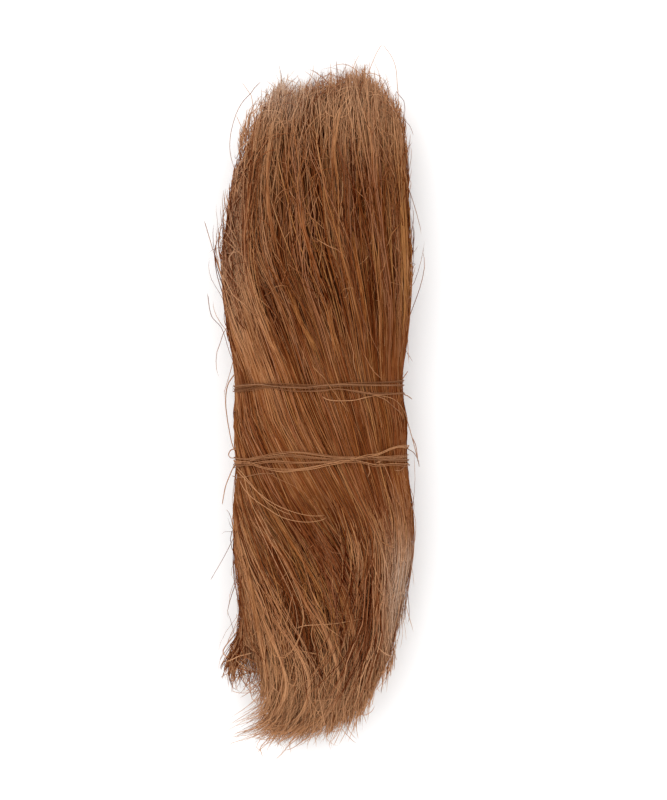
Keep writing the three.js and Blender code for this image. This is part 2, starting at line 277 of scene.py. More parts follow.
def fibre_mesh(name, template, paths, radii, found, reference=(0, 0, 1)):
    """One mesh of many fibres: copies of the template, each bent along its own path.

    paths is (fibre, ring, xyz) and radii (fibre, ring), in mm. found holds the facts for
    the material, each (fibre, ring) or (fibre, 1). No path may run along reference.
    """
    count = len(paths)
    along = unit(np.gradient(paths, axis=1))
    side = unit(np.cross(along, np.array(reference, float)))
    over = np.cross(along, side)
    ring = template.ring
    a = math.tau * template.turn
    spoke = side[:, ring] * np.cos(a)[None, :, None] + over[:, ring] * np.sin(a)[None, :, None]
    points = paths[:, ring] + spoke * (radii[:, ring] * template.thick[None, :])[..., None]
    points[..., 2] = np.maximum(points[..., 2], FLOOR_GAP)

    per = len(ring)
    corners = (np.arange(count)[:, None] * per + template.corners[None, :]).ravel()
    sizes = np.tile(template.sizes, count)
    mesh = bpy.data.meshes.new(name)
    mesh.vertices.add(count * per)
    set_points(mesh, points)
    mesh.loops.add(len(corners))
    fill(mesh.loops, "vertex_index", corners, np.int32)
    mesh.polygons.add(len(sizes))
    fill(mesh.polygons, "loop_start", np.cumsum(sizes) - sizes, np.int32)
    mesh.update(calc_edges=True)
    mesh.shade_smooth()

    # The first map runs along each fibre. The second holds a strip for each, in rows of lanes.
    fibre, local = corners // per, corners % per
    along_fibre = template.ring[local] / template.rings
    lanes = math.ceil(math.sqrt(count * STRIP_SHAPE))
    lane, row = fibre % lanes, fibre // lanes
    across = (lane + STRIP_GAP + (1 - 2 * STRIP_GAP) * template.turn[local]) / lanes
    up = row + STRIP_END_GAP + (1 - 2 * STRIP_END_GAP) * along_fibre
    own = np.random.default_rng(count).random(count)[fibre]
    set_map(mesh.uv_layers.new(name="Along"), own, along_fibre)
    set_map(mesh.uv_layers.new(name="OFBake"), across, up / math.ceil(count / lanes))
    mesh.uv_layers.active = mesh.uv_layers["Along"]
    for fact, values in found.items():
        values = np.broadcast_to(values, radii.shape)[:, ring]
        fill(mesh.attributes.new(fact, "FLOAT", "POINT").data, "value", values)
    obj = bpy.data.objects.new(name, mesh)
    bpy.context.scene.collection.objects.link(obj)
    return obj


# ---- fibres -------------------------------------------------------------------------


def waves(rng, count, y, lengths, spread):
    """Smooth random offsets along y, about spread in size, for each of count fibres."""
    total = np.zeros((count, y.shape[-1]))
    for length in lengths:
        stretch = length * rng.uniform(0.75, 1.35, (count, 1))
        phase = rng.uniform(0, math.tau, (count, 1))
        total += rng.normal(0, 1, (count, 1)) * np.sin(math.tau * y / stretch + phase)
    return total * spread / math.sqrt(len(lengths))


def spaced(rng, count):
    """Angles unevenly spaced round the hank."""
    step = math.tau / count
    return (np.arange(count) + rng.uniform(-0.42, 0.42, count)) * step


def turns_between(angle, angles):
    """The shorter way round from an angle to each of angles."""
    return (angles - angle + math.pi) % math.tau - math.pi


def nearest(angle, angles):
    """Which of angles is nearest to each angle, and the turn that leads to it."""
    turn = turns_between(angle[:, None], angles[None, :])
    index = np.argmin(np.abs(turn), axis=1)
    return index, turn[np.arange(len(angle)), index]


def picked(table, index):
    """The row of a table of locks or tufts that index gives for each fibre."""
    return {name: values[index][:, None] for name, values in table.items()}


class Locks:
    """Locks, and finer tufts across them, that the fibre gathers into towards one end.

    side is 0 for those of the waist. Locks sink by sink, and strength and life scale how
    far they and their tufts stray. Both tables give, for each: angle round the hank,
    sweep and curl across (with the curl's phase), rise, tone, warmth, and for a lock how
    much shorter its fibres are or for a tuft how it leans.
    """

    def __init__(self, rng, side, locks, tufts, sink, strength=1.0, life=1.0):
        stray = strength * life
        shade = {1: 1.15, 0: 0.4, -1: 1.5}[side]
        self.side = side
        self.at_y = 95.0 * side if side else WAIST_Y
        self.locks = {
            "angle": spaced(rng, locks),
            "sweep": rng.normal(0, 3.2, locks) * stray,
            "curl": rng.normal(0, 1.3, locks) * stray,
            "phase": rng.uniform(0, math.tau, locks),
            "rise": rng.normal(-0.8, 1.6, locks) * stray - sink,
            "tone": rng.normal(0, 0.23, locks) * shade,
            "warm": rng.normal(0, 0.3, locks) * shade,
            "shorter": rng.uniform(-2, 6, locks),
        }
        self.tufts = {
            "angle": spaced(rng, tufts),
            "sweep": rng.normal(0, 2.2, tufts) * stray,
            "curl": rng.normal(0, 0.7, tufts) * stray,
            "phase": rng.uniform(0, math.tau, tufts),
            "rise": rng.normal(-0.35, 1.25, tufts) * strength,
            "lean": rng.normal(0, 0.045, tufts) * stray,
            "tone": rng.normal(0, 0.25, tufts) * shade,
            "warm": rng.normal(0, 0.27, tufts) * shade,
        }

    def groove(self, angle, depth, groove_shade, tufts=2):
        """Sinks the tufts nearest to this angle and darkens them with painted shade."""
        sunk = np.argsort(np.abs(turns_between(angle, self.tufts["angle"])))[:tufts]
        self.tufts["rise"][sunk] = -depth
        self.tufts["tone"][sunk] = -groove_shade

    def shorter(self, angle):
        """How much shorter than the outline the lock of each fibre is."""
        return self.locks["shorter"][nearest(angle, self.locks["angle"])[0]]

    def strengths(self, y):
        """How far the locks and the tufts have formed at y, from 0 to 1."""
        if self.side == 0:
            waist = 1 - ramp(12, 60, np.abs(y - self.at_y))
            return waist, waist
        away = np.maximum(self.side * y - (9 if self.side > 0 else 28), 0)
        return ramp(0, 90, away), ramp(0, 42, away)

    def lay(self, rng, angle, y):
        """Shift across, lift, tone and warmth that its lock and tuft give each fibre."""
        index, turn = nearest(angle, self.tufts["angle"])
        tuft = picked(self.tufts, index)
        lock = picked(self.locks, nearest(angle, self.locks["angle"])[0])
        far, near = self.strengths(y)
        pull = rng.uniform(0.35, 0.98, (len(angle), 1))
        open_tip = 1 - 0.6 * ramp(88, 126, y) if self.side > 0 else 1.0
        across = near * pull * turn[:, None] * arc_speed(y, angle[:, None]) * open_tip
        across += lock["sweep"] * far**1.5
        across += lock["curl"] * far * np.sin(y / 17 + lock["phase"])
        across += tuft["sweep"] * far
        across += tuft["lean"] * np.maximum(self.side * y - 45, 0)
        across += tuft["curl"] * far * np.sin(y / 8.5 + tuft["phase"])
        lift, tone, warm = (far * lock[k] + near * tuft[k] for k in ("rise", "tone", "warm"))
        return across, lift, tone, warm


def on_surface(angle, at_y, y, shift, lift):
    """Points of fibres that pass angle at at_y, moved across by shift and out by lift."""
    angle = swept_angle(angle[:, None], at_y[:, None], y)
    return section(y, angle + shift / arc_speed(y, angle), 1.0, lift)


def press(points, radii, rng):
    """Fibre under the hank lies pressed on the floor, or a little above the lowest fibre."""
    floor = radii + rng.uniform(0, 1.0, (len(points), 1)) ** 2 * 1.6
    points[..., 2] = np.maximum(points[..., 2], floor)
    return points


def sweep_left(rng, points):
    """The lower end bends over towards the left, its left-hand lock the most."""
    x, y = points[..., 0], points[..., 1]
    end_x = x[np.arange(len(x)), np.argmin(y, axis=1)][:, None]
    bend = np.clip((-y - 111) / 23, 0, 1.15) ** 2
    amount = 0.5 + 7.4 * ramp(-28, -18, end_x) * ramp(30, 0, end_x)
    amount = amount * (1 + 0.3 * np.sin(end_x / 1.7 + 0.6) + 0.22 * np.sin(end_x / 0.71))
    own = rng.uniform(0.3, 1.6, (len(points), 1))
    x = x - bend * (amount * own + rng.normal(0, 2.0, (len(points), 1)))
    points[..., 0] = x - 5.5 * ramp(-24, -29, x) * ramp(86, 112, -y)
    return points


def raggedness(rng, side, shorter, x):
    """How far short of the ends' outlines each fibre stops, the most in the lower left lock."""
    count = len(shorter)
    early = np.where(rng.random(count) < 0.12, rng.uniform(8, 50, count), 0)
    fringe = 6.0 if side > 0 else 4.8
    sparse = rng.exponential(7, count) * (ramp(-21, -28, x) if side < 0 else 0)
    return rng.exponential(fringe, count) - 0.85 * fringe + shorter + early + sparse


def trim(points, short):
    """Cuts fibres back to short mm inside the outlines of the two ends, and respaces them."""
    x, y = points[..., 0], points[..., 1]
    inside = np.minimum(upper_tip(x) - y, y - lower_tip(x))
    short = np.minimum(short, inside.max(axis=1) - SHORTEST)
    inside = inside - short[:, None]
    rings = y.shape[1]
    ring = np.arange(rings)[None, :]
    fibre = np.arange(len(y))
    safest = np.argmax(inside, axis=1)[:, None]
    after = np.where((inside < 0) & (ring > safest), ring, rings).min(axis=1)
    before = np.where((inside < 0) & (ring < safest), ring, -1).max(axis=1)
    a, b = np.minimum(after, rings - 1), np.maximum(before, 0)
    out, kept = inside[fibre, a], inside[fibre, a - 1]
    last = np.where(after < rings, a - 1 + kept / np.maximum(kept - out, 1e-6), rings - 1)
    out, kept = inside[fibre, b], inside[fibre, b + 1]
    first = np.where(before >= 0, b + 1 - kept / np.maximum(kept - out, 1e-6), 0)
    at = first[:, None] + (last - first)[:, None] * ring / (rings - 1)
    low = np.clip(np.floor(at).astype(int), 0, rings - 2)
    part = (at - low)[..., None]
    return points[fibre[:, None], low] * (1 - part) + points[fibre[:, None], low + 1] * part


def thickness(rng, count, t, mean, spread):
    """Radii in mm along each fibre, finer towards both ends."""
    base = np.clip(rng.normal(mean, spread, (count, 1)), 0.6 * mean, 1.9 * mean)
    return base * (1 - 0.62 * np.abs(2 * t - 1) ** 5)


def facts(rng, points, tone, warm, depth, tip):
    """What the material reads from each fibre, each a number from 0 to 1.

    tone is how light it is and warm how golden; depth is how deep it lies in the bunch, which
    the material darkens as painted shade; pale is how far it is bleached, as at its own tip, at
    both ends and on the lower right flank, and paler on the left flank; ashen is how far it has
    weathered to grey, at the upper end and at two edges.
    """
    x, y, z = points[..., 0], points[..., 1], points[..., 2]
    hazy = ramp(78, 120, y)
    waist = 1 - ramp(20, 48, np.abs(y - WAIST_Y))
    # Soft patches all over, then lighter and darker areas along the hank.
    patches = np.sin(x / 6.1 + y / 27) + np.sin(y / 15 - x / 10 + 1.9) + np.sin(y / 9 + x / 15)
    tone = tone + 0.035 * patches * (1 - 0.6 * waist) + 0.02 * waist
    tone = tone - 0.03 * ramp(25, 50, y) + 0.04 * ramp(45, 75, -y)
    # The middle line is darker at the upper end with painted groove shade, and lighter below the ties.
    centre = ramp(18, 6, np.abs(x + 1))
    tone = tone - 0.08 * centre * ramp(58, 90, y) + 0.05 * centre * ramp(30, 44, -y)
    # The upper end has less contrast, and the lower tips and the left flank are lighter.
    tone = 0.5 + (tone - 0.5) * (1 - 0.35 * hazy) + 0.28 * ramp(104, 130, -y)
    tone = tone + 0.07 * ramp(26, 36, -x) * ramp(20, 60, y)
    warm = warm + 0.15 * ramp(92, 126, -y)
    # Less painted shade deep in the hazy upper end.
    depth = depth * (1 - 0.35 * hazy)
    # Both ends and the lower right flank are bleached, the left flank is paler, light fibres the most.
    pale = ramp(80, 120, y) + 0.85 * ramp(74, 122, -y)
    pale += np.where(y > 0, 0.6, 0.4) * ramp(10, 33, -x) * (1 - 0.6 * waist)
    pale += 0.65 * ramp(8, 30, x) * ramp(34, 66, -y)
    pale = pale * (0.35 + 0.65 * ramp(0.1, 0.42, tone))
    pale = np.maximum(pale * rng.uniform(0.5, 1.1, (len(points), 1)), 0.9 * tip)
    # Grey is strongest at the left of the upper end and high on the lower right flank.
    ashen = ramp(104, 128, y) * (0.05 + 0.24 * ramp(4, -14, x))
    ashen += 0.1 * ramp(26, 36, -x) * ramp(20, 70, y)
    grey_flank = ramp(22, 34, x) * ramp(48, 72, -y) * ramp(112, 90, -y)
    ashen += 0.36 * grey_flank * (0.3 + 0.7 * ramp(6, 28, z))
    ashen = ashen * rng.uniform(0.3, 1.7, (len(points), 1))
    found = {"tone": tone, "warm": warm, "depth": depth, "pale": pale, "ashen": ashen}
    return {name: np.clip(values + 0 * y, 0, 1) for name, values in found.items()}


def shell_fibres(rng, count, rings, locks, reach, depth, radius=0.15):
    """Fibres at the surface: paths, radii and facts.

    reach is "long" for fibres from end to end, or "upper" or "lower" for those of one end,
    which stop inside the bunch.
    """
    t = ring_places(rings)
    if reach != "long":
        t = t**1.25 if reach == "upper" else 1 - (1 - t) ** 1.25
    anchor_y = rng.uniform(-90, 90, count)
    anchor = rng.uniform(0, math.tau, count)
    tips, angles, short = {}, {}, {}
    for side in (1, 0, -1):
        angles[side] = swept_angle(anchor, anchor_y, np.full(count, locks[side].at_y))
    for side in (1, -1):
        x = section(np.full(count, TIPS_Y * side), angles[side])[:, 0]
        short[side] = raggedness(rng, side, locks[side].shorter(angles[side]), x)
        tips[side] = tip_at(side, x) - side * (short[side] - 8)
    if reach == "upper":
        tips[-1] = rng.uniform(-70, 6, count)
    if reach == "lower":
        tips[1] = rng.uniform(-26, 56, count)
    y = tips[1][:, None] + (tips[-1] - tips[1])[:, None] * t

    # Its own wander across and in depth, then what the locks and tufts add to it.
    free = 0.16 + 0.84 * looseness(y)
    lively = free * (1 + 0.7 * ramp(34, 90, -y))
    shift = waves(rng, count, y, (210, 120, 62), 0.75) * lively
    shift += waves(rng, count, y, (41, 26), 0.42) * lively
    shift += rng.normal(0, 0.036, (count, 1)) * (y - anchor_y[:, None])
    lift = -np.abs(rng.normal(0, depth, (count, 1))) * (0.35 + 0.65 * free)
    lift = lift + waves(rng, count, y, (150, 80, 40), 0.3) * free
    near_ties = 1 - ramp(20, 50, np.abs(y - WAIST_Y))
    tone = 0.49 + rng.normal(0, 0.066, (count, 1)) * (1 + 0.45 * near_ties)
    warm = rng.normal(0.5, 0.2, (count, 1)) + 0 * y
    for side in (1, 0, -1):
        across, rise, lock_tone, lock_warm = locks[side].lay(rng, angles[side], y)
        shift += across
        lift += rise
        tone += lock_tone
        warm += lock_warm
    for side, splay, leaning in ((1, 3.0, 0.05), (-1, 2.4, 0.1)):
        shift += rng.normal(0, leaning, (count, 1)) * np.maximum(side * y - 55, 0)
        near_tip = ramp(80, 130, side * y) ** 1.5
        shift += near_tip * rng.normal(0, splay, (count, 1))
        lift += near_tip * rng.normal(-0.5, 1.5, (count, 1))
    # A fibre that ends inside the bunch sinks into it.
    if reach != "long":
        inner = t if reach == "upper" else 1 - t
        lift -= 5.0 * ramp(0.72, 1.0, inner)
    lift = np.minimum(lift, 1.7 * looseness(y) - 0.1)
    points = on_surface(anchor, anchor_y, y, shift, lift)
    least = {"long": np.minimum(short[1], short[-1]), "upper": short[1], "lower": short[-1]}
    points = sweep_left(rng, trim(points, least[reach]))
    radii = thickness(rng, count, t, radius, 0.3 * radius)
    radii = radii * (1 - 0.22 * ramp(60, 115, points[..., 1]))
    points = press(points, radii, rng)
    tip = {"long": np.abs(2 * t - 1), "upper": 1 - t, "lower": t}[reach]
    # How deep the fibre lies, which the material darkens as painted shade.
    sunk = np.clip((-0.25 - lift) / 3.0, 0, 1)
    return points, radii, facts(rng, points, tone, warm, sunk, ramp(0.8, 1.0, tip))


def end_fill(rng, count, rings, side, locks):
    """Fibres inside an end of the hank, whose blunter tips fill it."""
    t = 1 - (1 - ring_places(rings)) ** 2
    root = side * rng.uniform(66, 84, count)
    angle0 = rng.uniform(0, math.tau, count)
    share = np.sqrt(rng.uniform(0.02, 0.94, count))
    x = section(np.full(count, side * TIPS_Y), angle0, share)[:, 0]
    short = raggedness(rng, side, locks.shorter(angle0) * 0.7, x)
    tip = tip_at(side, x) - side * (short - 5)
    y = root[:, None] + (tip - root)[:, None] * t
    angle = swept_angle(angle0[:, None], locks.at_y, y)
    across, _, tone, warm = locks.lay(rng, angle0, y)
    angle = angle + 0.8 * across / arc_speed(y, angle)
    angle += waves(rng, count, y, (90, 50), 0.05)
    near_tip = ramp(80, 130, side * y)
    spread = share[:, None] * (1 + 0.03 * rng.normal(0, 1, (count, 1)) * near_tip)
    points = section(y, angle, spread, 0.0)
    points[..., 0] += near_tip**2 * rng.normal(0, 2.6, (count, 1))
    points[..., 2] += near_tip**2 * rng.normal(0, 2.0, (count, 1))
    points = sweep_left(rng, trim(points, short))
    radii = rng.uniform(0.11, 0.19, (count, 1)) * (1 - 0.25 * t)
    points = press(points, radii, rng)
    # Painted light: tone rises towards each tip, against the shade inside the end; the tips are also
    # bleached.
    tone = tone + rng.normal(0.48, 0.12, (count, 1)) + 0.22 * t**3
    warm = warm + rng.normal(0.5, 0.2, (count, 1))
    # How deep the fibre lies, which the material darkens as painted shade.
    sunk = np.clip((1 - share[:, None]) * 2.6, 0, 1) * (1 - t**1.5)
    return points, radii, facts(rng, points, tone, warm, sunk, ramp(0.45, 1.0, t))


def wandering(rng, start, length, heading, curl, wiggle, rings):
    """Where y is, and the shift across, along hairs that set out at a heading and curl."""
    count = len(start)
    t = ring_places(rings)
    way = heading[:, None] + curl[:, None] * t
    for turns in (1.5, 3.1):
        phase = rng.uniform(0, math.tau, (count, 1))
        size = wiggle[:, None] * rng.normal(0, 1, (count, 1))
        way = way + size * np.sin(math.tau * turns * t + phase)
    step = length[:, None] / rings
    middle = (way[:, 1:] + way[:, :-1]) / 2
    zero = np.zeros((count, 1))
    along, across = (
        np.concatenate([zero, np.cumsum(part(middle) * step, axis=1)], axis=1)
        for part in (np.cos, np.sin)
    )
    return start[:, None] + along, across, t


def inside_ends(start, angle, margin):
    """The start of each hair, moved where it would lie past the outlines of the ends."""
    x = section(start, angle)[:, 0]
    return np.clip(start, lower_tip(x) + margin, upper_tip(x) - margin)


def frizz(rng, count, rings):
    """Thin wavy fibres that wander over the surface, away from the ties."""
    start = 14 + 110 * rng.random(count) ** 0.7
    start = np.where(rng.random(count) < 0.6, start, -16 - start)
    length = rng.uniform(22, 56, count)
    curly = rng.random(count) < 0.16 + 0.24 * ramp(80, 112, start)
    angle0 = rng.uniform(0, math.tau, count)
    start = inside_ends(start, angle0, 7 + 12 * rng.random(count))
    x = section(start, angle0)[:, 0]
    outwards = rng.random(count) < 0.6
    room = np.where(start > 0, upper_tip(x) + 3 - start, start - lower_tip(x))
    outwards = outwards & (room > 14)
    length = np.where(outwards, np.minimum(length, room), length)
    stray = 0.1 + np.where(start > 0, 0.1, 0.04) * ramp(50, 95, np.abs(start - PARTING_Y))
    heading = np.where((start > 0) == outwards, 0.0, math.pi) + rng.normal(0, 1, count) * stray
    # Some are short and curly instead.
    curl = rng.normal(0, 0.3, count)
    curl = np.where(curly, rng.normal(0, 2.4, count), curl)
    length = np.where(curly, rng.uniform(8, 26, count), length)
    wiggle = rng.uniform(0.05, 0.3, count)
    y, shift, t = wandering(rng, start, length, heading, curl, wiggle, rings)
    free = 0.12 + 0.88 * looseness(y)
    lift = rng.uniform(-0.9, 0.5, (count, 1)) + waves(rng, count, y, (40, 24), 0.5) * free
    lift = np.clip(lift, -1.2, 1.6 * looseness(y)) - 1.8 * np.abs(2 * t - 1) ** 5
    points = on_surface(angle0, start, y, shift * free, lift)
    points = sweep_left(rng, trim(points, rng.exponential(5, count) - 4))
    radii = thickness(rng, count, t, 0.12, 0.03)
    points = press(points, radii, rng)
    tone = rng.normal(0.57, 0.09, (count, 1))
    warm = rng.normal(0.5, 0.25, (count, 1))
    # How deep the fibre lies, which the material darkens as painted shade.
    sunk = np.clip(-lift / 3.2, 0, 1)
    return points, radii, facts(rng, points, tone, warm, sunk, ramp(0.5, 1.0, 2 * t - 1))


def loose_hairs(rng, count, rings):
    """Fine hairs that lift off the surface all round the hank."""
    start = rng.uniform(-118, 116, count)
    start = np.where(looseness(start) < 0.5, start + np.sign(start - PARTING_Y) * 35, start)
    angle0 = rng.uniform(0, math.tau, count)
    # Those of the tips, of the lower left lock and of the upper left edge have set places.
    kind = rng.random(count)
    at_tips, left_lock, fringe = kind < 0.35, kind > 0.94, (kind > 0.6) & (kind <= 0.94)
    at_edge = left_lock | fringe
    start = np.where(at_tips, np.where(rng.random(count) < 0.6, 150, -150), start)
    start = np.where(left_lock, rng.uniform(-112, -90, count), start)
    start = np.where(fringe, rng.uniform(22, 112, count), start)
    angle0 = np.where(at_edge, math.pi + rng.normal(0, 0.35, count), angle0)
    own_end = np.sign(start - PARTING_Y)
    outwards = np.where(rng.random(count) < 0.8, own_end, -own_end)
    outwards = np.where(at_tips | at_edge, np.sign(start), outwards)
    length = np.where(at_tips | left_lock, rng.uniform(8, 22, count), rng.uniform(8, 36, count))
    splay = np.where(at_tips | left_lock, 0.42, 0.22)
    heading = np.where(outwards > 0, 0.0, math.pi) + rng.normal(0, 1, count) * splay
    heading = heading - 0.45 * np.sign(np.sin(angle0)) * (at_tips & (start < 0))
    curl = rng.normal(0, 1, count) * np.where(at_tips, 1.3, 0.75)
    start = inside_ends(start, angle0, 4 + 8 * rng.random(count))
    y, shift, t = wandering(rng, start, length, heading, curl, rng.uniform(0.1, 0.4, count), rings)
    # They rise off the surface, or lie close beside it.
    stand = np.where(fringe, 0.27, np.where(left_lock, 0.42, 0.2))[:, None]
    rise = np.minimum(np.abs(rng.normal(0, 1, (count, 1))) * stand * length[:, None], 11)
    lift = -0.8 + (0.9 + rise) * t ** rng.uniform(0.9, 2.0, (count, 1))
    lift = lift - 0.4 * rise * t**4
    beside = (fringe & (rng.random(count) < 0.6))[:, None]
    off = rng.uniform(0.2, 2.4, (count, 1)) * np.sin(math.pi * t) ** 0.6 - 0.3
    lift = np.where(beside, off, lift)
    points = on_surface(angle0, start, y, shift, lift)
    points = sweep_left(rng, trim(points, -rng.uniform(0, 10, count)))
    radii = thickness(rng, count, 0.5 + 0.5 * t, 0.125, 0.03)
    radii = radii * np.where(at_edge, 1.3, 1.0)[:, None]
    points = press(points, radii, rng)
    tone = rng.normal(0.4, 0.2, (count, 1)) - 0.1 * at_edge[:, None]
    warm = rng.normal(0.4, 0.2, (count, 1))
    return points, radii, facts(rng, points, tone, warm, 0.0, 0.6 * ramp(0.3, 1.0, t))


# ---- strands laid one by one --------------------------------------------------------


def distances(points):
    """How far along a line each of its points lies."""
    lengths = np.linalg.norm(np.diff(points, axis=0), axis=1)
    return np.concatenate([[0], np.cumsum(lengths)])


def rounded(points, count):
    """count + 1 points evenly along a smooth line through points."""
    points = np.array(points, float)
    at = distances(points)
    wanted = np.linspace(0, at[-1], count + 1)
    columns = [smooth_table(list(zip(at, column)))(wanted) for column in points.T]
    return np.stack(columns, axis=-1)


def over_surface(line, lift, count):
    """A line of (x, y) laid over the hank, lift above it, or beside it past its edge."""
    x, y = rounded(line, count).T
    return np.stack([x, y, crown_height(x, y) + lift], axis=-1)


TURN_RINGS = 84
KNOT_RINGS = 60
TAIL_RINGS = 20
HAIR_RINGS = 24
OVER_POINTS = 60  # along a turn's line over the hank, before all of it is respaced
TURN_ENDS = [math.radians(292), math.radians(-112)]  # where a turn's ends overlap, underneath
KNOT_ANGLE = math.radians(-24)

# Each turn of a tie as it crosses the upper side, left to right: (x, y).
UPPER_TURNS = [
    [(-33.2, 4.2), (-26.8, 5.2), (-20.8, 6.5), (-18.4, 6.2), (-12, 5.7), (0, 5.8), (12, 6.4), (27.2, 7),
     (32.4, 7.6)],
    [(-33.2, 5.6), (-23.2, 6.2), (-18, 5.6), (-12, 5), (-6, 4.8), (2, 5.6), (12.8, 5.8), (24, 5.8),
     (32.4, 6)],
    [(-33.2, 3.6), (-26, 4.4), (-19.6, 5), (-16, 4.4), (-10.4, 3.5), (-4, 3.5), (2, 4), (6.8, 4.4),
     (12.8, 3.6), (20.8, 2.6), (32.4, 2.8)],
]
LOWER_TURNS = [
    [(-33.2, -23), (-28, -23.4), (-24.8, -23), (-22, -22.2), (-18, -21.4), (-12, -20.6), (-8, -20.5),
     (2, -21.6), (6, -22.2), (10, -22.4), (16.8, -22.4), (24, -22.8), (32.6, -22.6)],
    [(-33.2, -24.4), (-28.8, -24.8), (-26, -25.2), (-23.2, -26.2), (-19.2, -27.2), (-14, -27.8),
     (-8, -27.2), (-3.2, -26.4), (3.2, -25.2), (8, -24.4), (12, -23.4), (16, -22.4), (19.2, -22),
     (22.8, -21.2), (25.2, -20), (28.4, -18.8), (30.8, -18.2), (33.0, -18.6)],
    [(-33.2, -26.8), (-31.4, -26.4), (-30, -25.2), (-28.4, -24.8), (-26.8, -24), (-23.2, -23),
     (-18, -22.4), (-12, -21.9), (-6.8, -22), (4, -23.2), (10, -23.4), (16.8, -23.2), (26, -23.6),
     (32.6, -23.8)],
    [(-33.2, -25.6), (-25.2, -25.2), (-20, -24.2), (-14, -24.2), (-8, -24.3), (2, -24.4), (12.8, -23.8),
     (16.8, -24.4), (20, -25.2), (22.4, -25.6), (28, -25.2), (32.6, -25.6)],
]


def whole_turn(line, lift, under_y):
    """One turn of a tie: under the left side, over the hank along line, and back under."""
    x, y = rounded(line, OVER_POINTS).T
    across = np.clip((x - middle_x(y)) / half_width(y), -1, 1)
    angle = np.arccos(bulge(across, 1 / SQUARENESS_CROWN))
    left, right = angle[0], angle[-1]
    down = np.linspace(0, 1, OVER_POINTS // 2 + 1)[1:]
    before = left + (TURN_ENDS[0] - left) * down[::-1]
    after = right + (TURN_ENDS[1] - right) * down
    ease = ramp(0, 1, down)
    y_before = y[0] + (under_y - y[0]) * ease[::-1]
    y_after = y[-1] + (under_y - y[-1]) * ease
    angle = np.concatenate([before, angle, after])
    y = np.concatenate([y_before, y, y_after])
    points = section(y, angle, 1.0, lift)
    points[:, 2] = np.maximum(points[:, 2], np.maximum(underside(y) - lift, 0.5))
    at = distances(points)
    even = np.linspace(0, at[-1], TURN_RINGS + 1)
    return np.stack([np.interp(even, at, column) for column in points.T], axis=-1)


# Tails and loose ends of the ties: (x, y) with the height over the surface.
TAILS = [
    (0.9, [(12.8, 4), (16, 3.2), (23.2, 1.8), (27.6, 1), (30.8, -0.8), (33.4, -4.4), (34.8, -8),
     (36.8, -14.8), (39.2, -24)]),
    (0.8, [(18.4, 3.2), (22.4, 1.6), (26, 0), (29.2, -2.8), (32, -5.2), (33, -8)]),
    (0.7, [(0.8, 1.6), (2.4, 0.4), (5.2, -0.2), (10, -0.3), (14, 0), (18, 1), (22, 1.8), (25.6, 2.4)]),
    (1.2, [(-3.2, 14), (-0.8, 11), (1.2, 9.2), (4, 5.2), (7.2, 1), (9.6, -2.4), (11.6, -5.2)]),
    (0.9, [(-33.2, 11.6), (-36.8, 6.4), (-37.8, 0.4), (-37.4, -5.6), (-36.4, -12), (-35.2, -17.6),
     (-33.4, -22)]),
    (0.8, [(31.2, 6.8), (33.6, 2.4), (35.2, 1.6), (37, 0.2)]),
    (0.8, [(31.2, 5.6), (32.8, 8), (34.4, 10.4), (35.2, 11.6)]),
    (0.6, [(-35.6, -30.4), (-34, -30.6), (-30.8, -30.6), (-28, -30), (-24.8, -29.2), (-22, -28.9),
     (-19.2, -28.8), (-17.2, -29.2)]),
    (0.9, [(22, -24.8), (25.2, -23.6), (28.8, -23.2), (32.8, -22.8)]),
    (0.8, [(19.2, -24.8), (19.2, -26), (19.6, -28), (18.8, -30.4)]),
    (0.9, [(31.2, -22.4), (33.2, -22.8), (34.2, -24.4), (33.6, -26.4), (32, -27.8), (29.6, -27.8)]),
    (0.9, [(32.6, -18.4), (35.2, -19.6), (37.6, -21.2), (39.2, -24), (39.8, -27)]),
    (0.8, [(-33, -25.2), (-34.8, -27.2), (-36.4, -30.8), (-37.2, -32.8), (-38, -35.2), (-39.2, -42)]),
    (0.9, [(-33.2, -19.6), (-35.6, -20), (-36.6, -22), (-35.6, -23.2), (-33.2, -23)]),
    (0.8, [(36.8, -14.8), (38.4, -18.4), (39.2, -24.8)]),
]

